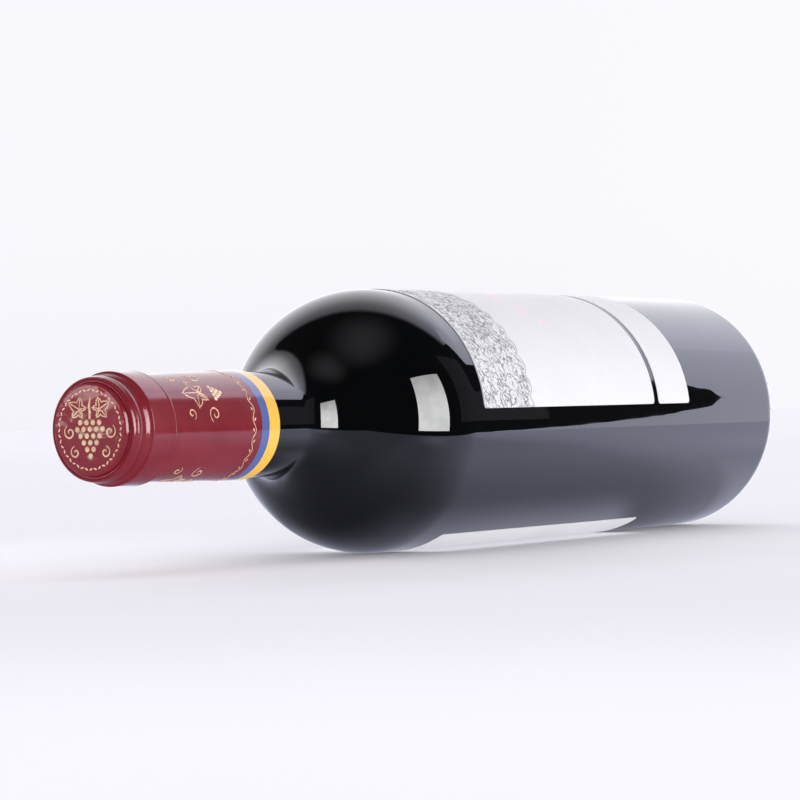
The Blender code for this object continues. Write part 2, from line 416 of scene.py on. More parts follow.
# The neck, which widens to its foot, with rings of points where the bands begin and end
for height in (284.2, 276, 268, 260, 252, 249.7, 246.6, 243.5):
    tip = line_to(capsule, tip, foil_radius(height * MM), height * MM)
tip = line_to(capsule, tip, FOIL_FOOT_RADIUS - 0.03 * MM, CAPSULE_FOOT)
turn_round(capsule)
bmesh.ops.solidify(capsule, geom=capsule.faces[:], thickness=FOIL_THICKNESS)
bmesh.ops.recalc_face_normals(capsule, faces=capsule.faces[:])
finish_piece("capsule_foil", capsule, red_foil, "red_foil", "capsule")


# Gold stamping on the capsule
# Lines and small shapes pressed into the foil with gold leaf, which stand a little proud of it: a bunch of
# grapes in a wreath on the end, a vine leaf three times round the neck, and a running scroll.
gold_leaf, tree, shader = new_finish("gold leaf", Metallic=0.3, IOR=1.5)
where = add_node(tree, "TexCoord").outputs["Object"]
marks = place_effect(tree, handling, where, Wipe_Scale=240, Dust_Scale=400, Dust_Size=0.03)
leaf_noise = add_node(tree, "TexNoise", Vector=where, Scale=1400.0, Detail=4.0)
uneven_leaf = fade(tree, leaf_noise.outputs["Fac"], 0.3, 0.7)
rubbed = tint(tree, uneven_leaf, (0.68, 0.42, 0.25), (0.90, 0.68, 0.46))
worn = tint(tree, times(tree, marks.outputs["Wipes"], 0.2), rubbed, (0.40, 0.12, 0.10))
tree.links.new(worn, shader.inputs["Base Color"])
tree.links.new(fade(tree, leaf_noise.outputs["Fac"], 0.3, 0.7, 0.28, 0.46), shader.inputs["Roughness"])
pressed = add_node(tree, "Bump", Height=leaf_noise.outputs["Fac"], Distance=0.00003, Strength=0.4)
tree.links.new(pressed.outputs["Normal"], shader.inputs["Normal"])

STAMP_HEIGHT = 0.09 * MM
END_STAMP_HEIGHT = 0.12 * MM
LEAF_STEPS = 100
LOBE_ANGLE = math.radians(72)
LOBE_LOSS = 0.15
LOBE_HOLLOW = 0.46
TOOTH_COUNT = 40
TOOTH_DEPTH = 0.035
NOTCH_ANGLE = 0.45
NOTCH_DEPTH = 0.45
CURL_STEPS = 26
CURL_SHRINKS_BY = 0.86


def draw_strokes(mesh, strokes, width, height=STAMP_HEIGHT, tapered=True):
    """Add drawn lines to a flat design. Each stroke is a list of points, in metres, in the plane of Z."""
    curve = bpy.data.curves.new("strokes", "CURVE")
    curve.dimensions = "3D"
    curve.bevel_depth = width / 2
    curve.bevel_resolution = 1
    curve.use_fill_caps = True
    for stroke in strokes:
        spline = curve.splines.new("POLY")
        spline.points.add(len(stroke) - 1)
        for index, (point, spot) in enumerate(zip(spline.points, stroke)):
            point.co = (spot[0], spot[1], 0, 1)
            along_stroke = math.pi * min(index + 0.6, len(stroke) - 0.4) / len(stroke)
            point.radius = 0.45 + 0.75 * math.sin(along_stroke) if tapered else 1
    holder = bpy.data.objects.new("strokes", curve)
    drawn = bpy.data.meshes.new_from_object(holder)
    drawn.transform(Matrix.Diagonal((1, 1, 2 * height / width, 1)))
    mesh.from_mesh(drawn)
    bpy.data.objects.remove(holder)
    bpy.data.meshes.remove(drawn)
    bpy.data.curves.remove(curve)


def add_bead(mesh, across, up, radius, height=STAMP_HEIGHT, detail=2, narrow=1, turn=0):
    """Add a small flattened bead to a flat design, or a leaflet where it is narrow."""
    grown = bmesh.ops.create_icosphere(mesh, subdivisions=detail, radius=radius)["verts"]
    bmesh.ops.scale(mesh, vec=(1, narrow, height / radius), verts=grown)
    bmesh.ops.rotate(mesh, cent=(0, 0, 0), matrix=Matrix.Rotation(turn, 3, "Z"), verts=grown)
    bmesh.ops.translate(mesh, vec=(across, up, 0), verts=grown)


def leaf_reach(angle):
    """How far a vine leaf reaches, by the angle from its tip: five toothed lobes and the stalk's notch."""
    angle = math.remainder(angle, 2 * math.pi)
    lobe = round(angle / LOBE_ANGLE)
    off_lobe = 2 * abs(angle / LOBE_ANGLE - lobe)
    edge = (1 - LOBE_LOSS * abs(lobe)) * (1 - LOBE_HOLLOW * off_lobe**0.8)
    edge += TOOTH_DEPTH * math.cos(TOOTH_COUNT * angle)
    notch = NOTCH_DEPTH * max(0.0, 1 - (math.pi - abs(angle)) / NOTCH_ANGLE)
    return edge * (1 - notch)


def add_leaf(mesh, across, up, size, turn, height=STAMP_HEIGHT):
    """Add a vine leaf to a flat design, domed and with a toothed edge."""
    disc = bmesh.ops.create_circle(
        mesh, cap_ends=True, cap_tris=True, segments=LEAF_STEPS, radius=size
    )["verts"]
    for vertex in disc:
        reach = leaf_reach(math.atan2(vertex.co.y, vertex.co.x))
        vertex.co.z = height * (1 - vertex.co.length / size)
        vertex.co.x *= reach
        vertex.co.y *= reach
    bmesh.ops.rotate(mesh, cent=(0, 0, 0), matrix=Matrix.Rotation(turn, 3, "Z"), verts=disc)
    bmesh.ops.translate(mesh, vec=(across, up, 0), verts=disc)


def leaf_lines(across, up, size, turn):
    """The strokes of a vine leaf drawn in line: its edge, and a vein from the stalk into each lobe."""

    def spot(angle, reach):
        angle += turn
        return (across + size * reach * math.cos(angle), up + size * reach * math.sin(angle))

    angles = [2 * math.pi * step / LEAF_STEPS - math.pi for step in range(LEAF_STEPS + 1)]
    stalk = spot(math.pi, leaf_reach(math.pi))
    strokes = [[spot(angle, leaf_reach(angle)) for angle in angles]]
    for lobe in range(-2, 3):
        tip_of_vein = 0.78 * leaf_reach(lobe * LOBE_ANGLE)
        strokes.append([stalk, spot(lobe * LOBE_ANGLE, 0.2), spot(lobe * LOBE_ANGLE, tip_of_vein)])
    return strokes


def curl(across, up, reach, turns, start, bend=1):
    """The points of a tendril that curls up towards its end."""
    points = []
    for step in range(CURL_STEPS + 1):
        part = step / CURL_STEPS
        angle = start + bend * 2 * math.pi * turns * part
        size = reach * (1 - CURL_SHRINKS_BY * part)
        points.append((across + size * math.cos(angle), up + size * math.sin(angle)))
    return points


GRAPE_RADIUS = 0.62 * MM
GRAPE_SPACING = 1.70 * MM
WREATH_RADIUS = 8.25 * MM
WREATH_LEAVES = 44
# The end's design is drawn at a smaller size and then enlarged by this, so that it fills the disc.
END_STAMP_SIZE = 1.19
end_stamp = bmesh.new()
for row, count in enumerate((4, 5, 4, 3, 2, 1)):
    for index in range(count):
        across = (index - (count - 1) / 2) * GRAPE_SPACING
        add_bead(end_stamp, across, 1.5 * MM - row * 0.82 * GRAPE_SPACING, GRAPE_RADIUS, END_STAMP_HEIGHT)
for side in (-1, 1):
    vine_leaf = leaf_lines(side * 2.8 * MM, 4.3 * MM, 2.9 * MM, math.radians(90 - side * 62))
    draw_strokes(end_stamp, vine_leaf, 0.3 * MM, END_STAMP_HEIGHT, False)
    tendrils = [
        curl(side * 5.4 * MM, -0.5 * MM, 1.55 * MM, 1.3, math.radians(90 - side * 30), -side),
        curl(side * 4.0 * MM, -4.7 * MM, 1.35 * MM, 1.2, math.radians(90 - side * 10), -side),
    ]
    draw_strokes(end_stamp, tendrils, 0.36 * MM, END_STAMP_HEIGHT)
stalk = [(0, 2.2 * MM), (0.1 * MM, 3.6 * MM), (-0.1 * MM, 4.9 * MM), (0.3 * MM, 6.6 * MM)]
draw_strokes(end_stamp, [stalk], 0.6 * MM, END_STAMP_HEIGHT)
for index in range(WREATH_LEAVES):
    angle = 2 * math.pi * index / WREATH_LEAVES
    splay = math.radians(28 if index % 2 else -28)
    add_bead(
        end_stamp,
        WREATH_RADIUS * math.cos(angle),
        WREATH_RADIUS * math.sin(angle),
        0.56 * MM,
        END_STAMP_HEIGHT,
        detail=1,
        narrow=0.42,
        turn=angle + math.pi / 2 + splay,
    )
end_face = capsule_low.x + TOTAL_HEIGHT - END_LEVEL
onto_end = Matrix(((0, 0, -1, end_face), (-1, 0, 0, 0), (0, 1, 0, AXIS_HEIGHT), (0, 0, 0, 1)))
bmesh.ops.scale(end_stamp, vec=(END_STAMP_SIZE, END_STAMP_SIZE, 1), verts=end_stamp.verts[:])
bmesh.ops.transform(end_stamp, matrix=onto_end, verts=end_stamp.verts[:])
bmesh.ops.recalc_face_normals(end_stamp, faces=end_stamp.faces[:])
finish_piece("stamp_end", end_stamp, gold_leaf, "red_foil")


def wrap_on_neck(mesh):
    """Bend a flat design round the capsule: X runs round it from the near side up, Y is the height."""
    for vertex in mesh.verts:
        across, height, proud = vertex.co
        radius = foil_radius(height)
        angle = math.pi - across / radius
        out = radius + max(proud, -0.03 * MM)
        vertex.co = (TOTAL_HEIGHT / 2 - height, out * math.cos(angle), AXIS_HEIGHT + out * math.sin(angle))


EMBLEM_COUNT = 3
FIRST_EMBLEM = math.radians(38)
EMBLEM_HEIGHT = 271.5 * MM
SCROLL_HEIGHT = 252.9 * MM
SCROLL_SWING = 0.6 * MM
SCROLL_WAVES = 16
WAVE_STEPS = 12
neck_stamp = bmesh.new()
for place in range(EMBLEM_COUNT):
    across = foil_radius(EMBLEM_HEIGHT) * (FIRST_EMBLEM + 2 * math.pi * place / EMBLEM_COUNT)
    leaf = leaf_lines(across, EMBLEM_HEIGHT + 1.2 * MM, 5.4 * MM, math.radians(90))
    draw_strokes(neck_stamp, leaf, 0.34 * MM, tapered=False)
    for side in (-1, 1):
        low_start = math.radians(90 - side * 60)
        low_curl = curl(across + side * 6.2 * MM, EMBLEM_HEIGHT - 3.0 * MM, 2.3 * MM, 1.25, low_start, side)
        high_curl = curl(across + side * 6.0 * MM, EMBLEM_HEIGHT + 6.2 * MM, 1.6 * MM, 1.1, -low_start, -side)
        draw_strokes(neck_stamp, [low_curl, high_curl], 0.34 * MM)
    for row, count in enumerate((4, 3, 2, 1)):
        for index in range(count):
            berry_across = across + (index - (count - 1) / 2) * 1.25 * MM
            add_bead(neck_stamp, berry_across, EMBLEM_HEIGHT - (5.2 + 1.05 * row) * MM, 0.6 * MM)
scroll_length = 2 * math.pi * foil_radius(SCROLL_HEIGHT)
scroll = []
for step in range(SCROLL_WAVES * WAVE_STEPS + 1):
    swing = SCROLL_SWING * math.sin(2 * math.pi * step / WAVE_STEPS)
    scroll.append((scroll_length * step / (SCROLL_WAVES * WAVE_STEPS), SCROLL_HEIGHT + swing))
draw_strokes(neck_stamp, [scroll], 0.26 * MM, tapered=False)
for index in range(2 * SCROLL_WAVES):
    side = 1 if index % 2 else -1
    across = scroll_length * (index + 0.5) / (2 * SCROLL_WAVES)
    leaf_turn = math.radians(side * 35)
    add_bead(
        neck_stamp, across, SCROLL_HEIGHT + side * 0.35 * MM, 0.62 * MM, detail=1, narrow=0.42, turn=leaf_turn
    )
wrap_on_neck(neck_stamp)
bmesh.ops.recalc_face_normals(neck_stamp, faces=neck_stamp.faces[:])
finish_piece("stamp_neck", neck_stamp, gold_leaf, "red_foil")


# Front label
# A sheet of thick uncoated white paper, glued round the body, with small round corners. A grey frieze of
# hatched leaves between rules runs along its neck end, and a pale sprig and plain rules are printed below.
PAPER_THICKNESS = 0.15 * MM
CORNER_RADIUS = 1.2 * MM
CREASE_STEP = math.radians(2)
INK_HEIGHT = 0.02 * MM
# Degrees round the body, from its far side over the top
LABEL_START = 25
LABEL_END = 176
# Millimetres on the print, except the swing, which is radians for each of them
FRIEZE_DEPTH = 26
SCALLOP_DEPTH = 1.5
SCALLOP_SWING = 0.5

paper_fibre, fibre_in, fibre_out = new_effect("paper fibre", {"Fibre Scale": 1400}, ("Tone", "Relief"))
fibre_place = fibre_in.outputs["Position"]
fibre_noise = add_node(
    paper_fibre, "TexNoise", Vector=fibre_place, Scale=fibre_in.outputs["Fibre Scale"], Detail=5.0
)
cloud_noise = add_node(paper_fibre, "TexNoise", Vector=fibre_place, Scale=45.0, Detail=3.0)
both_noises = maths(paper_fibre, "ADD", fibre_noise.outputs["Fac"], cloud_noise.outputs["Fac"])
paper_fibre.links.new(maths(paper_fibre, "MULTIPLY", both_noises, 0.5), fibre_out.inputs["Tone"])
paper_fibre.links.new(fibre_noise.outputs["Fac"], fibre_out.inputs["Relief"])


def new_paper(name):
    """White label paper. It gives the tree, the shader and the paper's own colour for a print to cover."""
    material, tree, shader = new_finish(name, IOR=1.4)
    where = add_node(tree, "TexCoord").outputs["Object"]
    fibre = place_effect(tree, paper_fibre, where, Fibre_Scale=1500)
    mottled = fade(tree, fibre.outputs["Tone"], 0.35, 0.65)
    white = tint(tree, mottled, (0.692, 0.689, 0.701), (0.733, 0.731, 0.743))
    tree.links.new(white, shader.inputs["Base Color"])
    tree.links.new(fade(tree, fibre.outputs["Tone"], 0.3, 0.7, 0.62, 0.78), shader.inputs["Roughness"])
    relief = add_node(tree, "Bump", Height=fibre.outputs["Relief"], Distance=0.00004, Strength=0.35)
    tree.links.new(relief.outputs["Normal"], shader.inputs["Normal"])
    return material, tree, shader, white


def make_label(node, start, end, foot, head, material, slot):
    """Draw the sheet flat with round corners, crease it finely, thicken it and wrap it on the glass."""
    start, span = math.radians(start), math.radians(end - start)
    width, height = BODY_RADIUS * span, head - foot
    sheet = bmesh.new()
    bmesh.ops.create_grid(sheet, x_segments=1, y_segments=1, size=0.5)
    bmesh.ops.scale(sheet, vec=(width, height, 1), verts=sheet.verts[:])
    bmesh.ops.bevel(
        sheet,
        geom=sheet.verts[:],
        offset=CORNER_RADIUS,
        offset_type="OFFSET",
        segments=8,
        profile=0.5,
        affect="VERTICES",
        material=-1,
    )
    for crease in range(1, math.floor(span / CREASE_STEP)):
        bmesh.ops.bisect_plane(
            sheet,
            geom=sheet.verts[:] + sheet.edges[:] + sheet.faces[:],
            dist=1e-7,
            plane_co=(BODY_RADIUS * CREASE_STEP * crease - width / 2, 0, 0),
            plane_no=(1, 0, 0),
        )
    print_map = sheet.loops.layers.uv.new("print")
    for face in sheet.faces:
        for corner in face.loops:
            corner[print_map].uv = (corner.vert.co.x / width + 0.5, corner.vert.co.y / height + 0.5)
    raised = bmesh.ops.extrude_face_region(sheet, geom=sheet.faces[:])["geom"]
    lifted = [part for part in raised if isinstance(part, bmesh.types.BMVert)]
    bmesh.ops.translate(sheet, vec=(0, 0, PAPER_THICKNESS), verts=lifted)
    bmesh.ops.recalc_face_normals(sheet, faces=sheet.faces[:])
    for vertex in sheet.verts:
        across, up, proud = vertex.co
        angle = start + (across + width / 2) / BODY_RADIUS
        out = BODY_RADIUS + proud
        low = PAPER_THICKNESS if proud < PAPER_THICKNESS / 2 else 0
        vertex.co.x = TOTAL_HEIGHT / 2 - (foot + head) / 2 - up
        vertex.co.y = out * math.cos(angle)
        vertex.co.z = max(AXIS_HEIGHT + out * math.sin(angle), low)
    bmesh.ops.reverse_faces(sheet, faces=sheet.faces[:])
    finish_piece(node + "_sheet", sheet, material, slot, node)


def printed_line(tree, value, centre, half_width):
    """A mask that is 1 on a thin printed line, where the value is near its centre."""
    off_line = maths(tree, "ABSOLUTE", maths(tree, "SUBTRACT", value, centre))
    return fade(tree, off_line, half_width, 0.5 * half_width)


front_low, front_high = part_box("front_label")
FRONT_HEAD = TOTAL_HEIGHT / 2 - front_low.x
FRONT_FOOT = TOTAL_HEIGHT / 2 - front_high.x
FRONT_WIDTH = BODY_RADIUS * math.radians(LABEL_END - LABEL_START)
front_length = (FRONT_HEAD - FRONT_FOOT) / MM

front_paper, tree, shader, white = new_paper("front label paper")
sheet_place = add_node(tree, "UVMap", {"uv_map": "print"}).outputs["UV"]
in_millimetres = add_node(
    tree, "Mapping", Vector=sheet_place, Scale=(FRONT_WIDTH / MM, front_length, 1)
).outputs["Vector"]
flat_place = add_node(tree, "SeparateXYZ", Vector=in_millimetres)
from_head = maths(tree, "SUBTRACT", front_length, flat_place.outputs["Y"])
swing = times(tree, flat_place.outputs["X"], SCALLOP_SWING)
scallop = maths(tree, "ABSOLUTE", maths(tree, "SINE", swing))
scalloped = maths(tree, "SUBTRACT", from_head, times(tree, scallop, SCALLOP_DEPTH))
above_scallops = fade(tree, scalloped, FRIEZE_DEPTH - 1.7, FRIEZE_DEPTH - 1.9)
leaf_zone = times(tree, fade(tree, from_head, 0.7, 0.9), above_scallops)
bent_place = add_node(tree, "TexNoise", Vector=in_millimetres, Scale=0.35, Detail=3.0)
bend = add_node(tree, "VectorMath", {"operation": "SCALE"}, Vector=bent_place.outputs["Color"], Scale=3.2)
bent = add_node(tree, "VectorMath", {"operation": "ADD"})
tree.links.new(in_millimetres, bent.inputs[0])
tree.links.new(bend.outputs["Vector"], bent.inputs[1])
stretched = add_node(tree, "Mapping", Vector=bent.outputs["Vector"], Scale=(0.22, 0.42, 1))
long_leaves = stretched.outputs["Vector"]
leaf_edges = add_node(
    tree, "TexVoronoi", {"feature": "DISTANCE_TO_EDGE"}, Vector=long_leaves, Scale=1.0, Randomness=0.9
)
leaf_pick = add_node(tree, "TexVoronoi", Vector=long_leaves, Scale=1.0, Randomness=0.9)
leaf_tone = add_node(tree, "SeparateColor", Color=leaf_pick.outputs["Color"]).outputs[0]
hatch_lines = add_node(
    tree,
    "TexWave",
    {"wave_type": "BANDS", "bands_direction": "DIAGONAL"},
    Vector=bent.outputs["Vector"],
    Scale=0.30,
    Distortion=3.0,
    Detail=2.0,
)
broken = add_node(tree, "TexNoise", Vector=in_millimetres, Scale=0.9, Detail=4.0, Roughness=0.65)
edge_ink = fade(tree, leaf_edges.outputs["Distance"], 0.07, 0.03)
leaf_outline = times(tree, edge_ink, fade(tree, broken.outputs["Fac"], 0.40, 0.54, 0.15, 0.95))
hatch_weight = fade(tree, leaf_tone, 0.2, 0.8, 0.08, 0.62)
hatching = times(tree, fade(tree, hatch_lines.outputs["Fac"], 0.35, 0.7), hatch_weight)
dark_folds = fade(tree, broken.outputs["Fac"], 0.56, 0.62, 0.0, 0.7)
leaf_ink = maths(tree, "MAXIMUM", leaf_outline, maths(tree, "MAXIMUM", hatching, dark_folds))
head_line = printed_line(tree, from_head, 0.1, 0.5)
scalloped_line = printed_line(tree, scalloped, FRIEZE_DEPTH - 1.2, 0.3)
frame_lines = maths(tree, "MAXIMUM", head_line, scalloped_line)
frieze_ink = maths(
    tree, "MAXIMUM", times(tree, leaf_ink, leaf_zone), times(tree, frame_lines, 0.6)
)
tree.links.new(tint(tree, frieze_ink, white, (0.075, 0.078, 0.090)), shader.inputs["Base Color"])
make_label("front_label", LABEL_START, LABEL_END, FRONT_FOOT, FRONT_HEAD, front_paper, "front_paper")


def new_ink(name, dark, light):
    """Printing ink, a little uneven where the paper took less of it."""
    material, tree, shader = new_finish(name, IOR=1.45)
    where = add_node(tree, "TexCoord").outputs["Object"]
    uptake = add_node(tree, "TexNoise", Vector=where, Scale=2100.0, Detail=3.0)
    spread = fade(tree, uptake.outputs["Fac"], 0.3, 0.7)
    tree.links.new(tint(tree, spread, dark, light), shader.inputs["Base Color"])
    tree.links.new(fade(tree, uptake.outputs["Fac"], 0.3, 0.7, 0.5, 0.7), shader.inputs["Roughness"])
    return material


def wrap_on_label(mesh):
    """Bend a flat print round the body: X runs round it from the far side over the top, Y is the height."""
    for vertex in mesh.verts:
        across, height, proud = vertex.co
        angle = across / BODY_RADIUS
        out = BODY_RADIUS + PAPER_THICKNESS + max(proud, -0.01 * MM)
        vertex.co = (TOTAL_HEIGHT / 2 - height, out * math.cos(angle), AXIS_HEIGHT + out * math.sin(angle))
    bmesh.ops.recalc_face_normals(mesh, faces=mesh.faces[:])


def rule(across, up, width, steps=24):
    """The points of a straight printed rule that runs round the bottle."""
    return [(across + width * (step / steps - 0.5), up) for step in range(steps + 1)]


LABEL_MIDDLE = BODY_RADIUS * math.radians((LABEL_START + LABEL_END) / 2)
grey_ink = new_ink("grey ink", (0.58, 0.58, 0.60), (0.70, 0.70, 0.72))
grey_print = bmesh.new()
for up, width in ((106, 22), (103.2, 30), (100.4, 18), (94, 26), (91.2, 20)):
    draw_strokes(grey_print, [rule(LABEL_MIDDLE, up * MM, width * MM)], 0.5 * MM, INK_HEIGHT, False)
wrap_on_label(grey_print)
finish_piece("front_label_rules", grey_print, grey_ink, "front_paper")

SPRIG_HEIGHT = 133 * MM
SPRIG_LEAVES = 5
rose_ink = new_ink("rose ink", (0.86, 0.58, 0.65), (0.93, 0.72, 0.78))
rose_print = bmesh.new()
for side in (-1, 1):
    for step in range(SPRIG_LEAVES):
        across = LABEL_MIDDLE + side * (3.5 + 4.2 * step) * MM
        odd = 1 if step % 2 else -1
        up = SPRIG_HEIGHT + (1.4 * odd - 1.2 * step) * MM
        leaf_turn = math.radians(90 + side * (35 if odd > 0 else -70))
        add_leaf(rose_print, across, up, (2.8 - 0.25 * step) * MM, leaf_turn, INK_HEIGHT)
    stem = [(LABEL_MIDDLE + side * 0.85 * MM * step, SPRIG_HEIGHT - 0.24 * MM * step) for step in range(26)]
    tendril = curl(LABEL_MIDDLE + side * 22 * MM, 124.5 * MM, 2.2 * MM, 1.3, math.radians(90), side)
    draw_strokes(rose_print, [stem, tendril], 0.4 * MM, INK_HEIGHT)
    add_bead(rose_print, LABEL_MIDDLE + side * 15 * MM, 124 * MM, 0.8 * MM, INK_HEIGHT)
wrap_on_label(rose_print)
finish_piece("front_label_sprig", rose_print, rose_ink, "front_paper")


# Lower strip
# A narrow band of the same paper, glued just under the front label, with a faint rule along its middle.
strip_low, strip_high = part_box("lower_strip")
STRIP_FOOT = TOTAL_HEIGHT / 2 - strip_high.x
STRIP_HEAD = TOTAL_HEIGHT / 2 - strip_low.x
strip_paper = new_paper("lower strip paper")[0]
make_label("lower_strip", LABEL_START, LABEL_END, STRIP_FOOT, STRIP_HEAD, strip_paper, "front_paper")
strip_print = bmesh.new()
strip_middle = (STRIP_FOOT + STRIP_HEAD) / 2
draw_strokes(strip_print, [rule(LABEL_MIDDLE, strip_middle, 30 * MM)], 0.35 * MM, INK_HEIGHT, False)
wrap_on_label(strip_print)
finish_piece("lower_strip_rule", strip_print, grey_ink, "front_paper")


# Back label
# The sheet that the bottle lies on, held between the glass and the table. It is the same white paper, and
# it is left bare.
back_low, back_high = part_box("back_label")
BACK_START = 241
BACK_END = 320
BACK_FOOT = TOTAL_HEIGHT / 2 - back_high.x
BACK_HEAD = TOTAL_HEIGHT / 2 - back_low.x
back_paper = new_paper("back label paper")[0]
make_label("back_label", BACK_START, BACK_END, BACK_FOOT, BACK_HEAD, back_paper, "back_paper")


# Table and studio
# A pale table, a white wall and a ceiling behind, one more wall on the right, a tall soft light with a dim
# screen at the front, and a small card on the left. The panels show only in reflections, as the real ones
# stand outside the picture, and a pale sky gives the even light.
DEPTH = Vector((0.831, 0.556, 0))
SIDE = Vector((0.556, -0.831, 0))
TABLE_EDGE = -0.18
TABLE_REACH = 40.0
TABLE_GREEN = 0.991
TABLE_BLUE = 1.035
PAINTED_GLOW_SHARE = 0.17
WALL_DEPTH = 0.7
WALL_SIDE = 1.05
WALL_END = ((1.25, 0), (1.222, 0.14), (1.185, 0.305))
CEILING = 1.0
SKY_GLOSS = 0.035
SKY_GREEN = 0.993
SKY_BLUE = 1.03
PANEL_WHITE = (0.962, 0.958, 1.06, 1)
LIGHT_WHITE = (0.985, 0.988, 1.0, 1)
LIGHT_PLACE = -0.8
LIGHT_LEFT = -0.12
LIGHT_RIGHT = 0.31
LIGHT_FOOT = -0.085
LIGHT_HEAD = 0.55


def stage_sheet(name, corners, material, only_reflected=False):
    """A flat part of the studio, from its corners."""
    mesh = bmesh.new()
    mesh.faces.new([mesh.verts.new(corner) for corner in corners])
    data = bpy.data.meshes.new(name)
    mesh.to_mesh(data)
    mesh.free()
    data.materials.append(material)
    sheet = bpy.data.objects.new(name, data)
    bpy.context.scene.collection.objects.link(sheet)
    if only_reflected:
        sheet.visible_camera = False
        sheet.visible_diffuse = False
        sheet.visible_shadow = False
        sheet.visible_transmission = False
        sheet.visible_volume_scatter = False
    return sheet


def glowing(name, strength=1.0, colour=PANEL_WHITE):
    """A material that only gives light, evenly until its strength is linked."""
    material = bpy.data.materials.new(name)
    material.use_nodes = True
    tree = material.node_tree
    tree.nodes.remove(tree.nodes["Principled BSDF"])
    glow = add_node(tree, "Emission", Color=colour, Strength=strength)
    tree.links.new(glow.outputs[0], tree.nodes["Material Output"].inputs["Surface"])
    return material, tree, glow


def distance_along(tree, place, direction):
    """How far a place lies along a direction from the origin."""
    node = add_node(tree, "VectorMath", {"operation": "DOT_PRODUCT"})
    tree.links.new(place, node.inputs[0])
    node.inputs[1].default_value = direction
    return node.outputs["Value"]


def mix_shaders(tree, factor, first, second):
    """The first shader where the factor is 0 and the second where it is 1."""
    node = add_node(tree, "MixShader", Fac=factor)
    tree.links.new(first, node.inputs[1])
    tree.links.new(second, node.inputs[2])
    return node.outputs[0]


def off_grey(tree, level, green, blue):
    """A colour as bright as the level, with its green and its blue a little off grey."""
    node = add_node(
        tree,
        "CombineColor",
        Red=level,
        Green=times(tree, level, green),
        Blue=times(tree, level, blue),
    )
    return node.outputs["Color"]


def panel_corner(depth, side, height):
    """A corner of a studio panel, by how far back and how far right it is."""
    return DEPTH * depth + SIDE * side + Vector((0, 0, height))


def upright(start, end, foot, head):
    """The corners of an upright panel over the line from start to end."""
    return [(*start, foot), (*end, foot), (*end, head), (*start, head)]


# The table shows the camera a tone with painted light and shade in it, and most of it is lit so that the
# bottle shades it. Reflections and the light that it throws back have tones of their own.
table_top = bpy.data.materials.new("table top")
table_top.use_nodes = True
table_top.cycles.emission_sampling = "NONE"
tree = table_top.node_tree
tree.nodes.remove(tree.nodes["Principled BSDF"])
where = add_node(tree, "TexCoord").outputs["Object"]
table_depth = distance_along(tree, where, DEPTH)
# Brightness painted by distance: darker round the bottle, lighter towards the camera and far off.
near_tone = fade(tree, table_depth, -0.52, 0.05, 0.965, 0.885)
far_tone = fade(tree, table_depth, 0.5, 5.0, 0.0, 0.035)
table_side = maths(tree, "ABSOLUTE", distance_along(tree, where, SIDE))
# Painted light beside the bottle, and a painted shadow on the table in front of it.
near_bottle = fade(tree, maths(tree, "ABSOLUTE", table_depth), 0.25, 0.0)
painted_light_and_shade = times(tree, near_bottle, fade(tree, table_side, 0.02, 0.09, 0.0, 0.085))
off_painted_shadow = maths(tree, "ABSOLUTE", plus(tree, table_depth, 0.31))
painted_light_and_shade = plus(tree, painted_light_and_shade, fade(tree, off_painted_shadow, 0.2, 0.0, 0.0, -0.075))
tone = plus(tree, near_tone, plus(tree, far_tone, painted_light_and_shade))
fine_noise = add_node(tree, "TexNoise", Vector=where, Scale=6.0, Detail=3.0)
tone = times(tree, tone, fade(tree, fine_noise.outputs["Fac"], 0.3, 0.7, 0.996, 1.004))
table_colour = off_grey(tree, tone, TABLE_GREEN, TABLE_BLUE)
# A small share of the table glows, as painted light that thins the bottle's shade.
lit_table = add_node(tree, "BsdfDiffuse", Color=table_colour)
painted_glow_table = add_node(tree, "Emission", Color=table_colour, Strength=1.0)
seen_table = mix_shaders(tree, PAINTED_GLOW_SHARE, lit_table.outputs[0], painted_glow_table.outputs[0])
place = add_node(tree, "SeparateXYZ", Vector=where)
place_x = place.outputs["X"]
from_axis = maths(tree, "ABSOLUTE", place.outputs["Y"])
bounce_level = fade(tree, from_axis, 0, 0.09, 0.92, 1.6)
thrown_back = add_node(tree, "Emission", Color=(1, TABLE_GREEN, TABLE_BLUE, 1), Strength=bounce_level)
# The bottle mirrors a table with painted light and shade: a painted shadow right under it, lighter by the
# label and the neck, rising towards and past the base, and a painted bright spot in front.
rise_to_base = fade(tree, place_x, -0.11, 0.03, 0.45, 1.15)
rise_past_base = fade(tree, place_x, 0.05, 0.24, 0.0, 0.4)
under_bottle = fade(tree, from_axis, 0, 0.08, 0.2, 1.0)
by_label = times(tree, fade(tree, from_axis, 0.034, 0.016, 0.0, 0.33), fade(tree, place_x, 0.1, 0.08))
by_label = times(tree, by_label, fade(tree, place_x, -0.055, -0.04))
under_bottle = plus(tree, under_bottle, by_label)
under_bottle = plus(tree, under_bottle, fade(tree, place_x, 0.1, 0.16, 0.0, 0.2))
clear_of_bottle = maths(tree, "MAXIMUM", under_bottle, fade(tree, place_x, 0.12, 0.17))
by_neck = fade(tree, place_x, -0.045, -0.08, 0.0, 0.32)
clear_of_bottle = plus(tree, clear_of_bottle, by_neck)
shine_level = times(tree, plus(tree, rise_to_base, rise_past_base), clear_of_bottle)
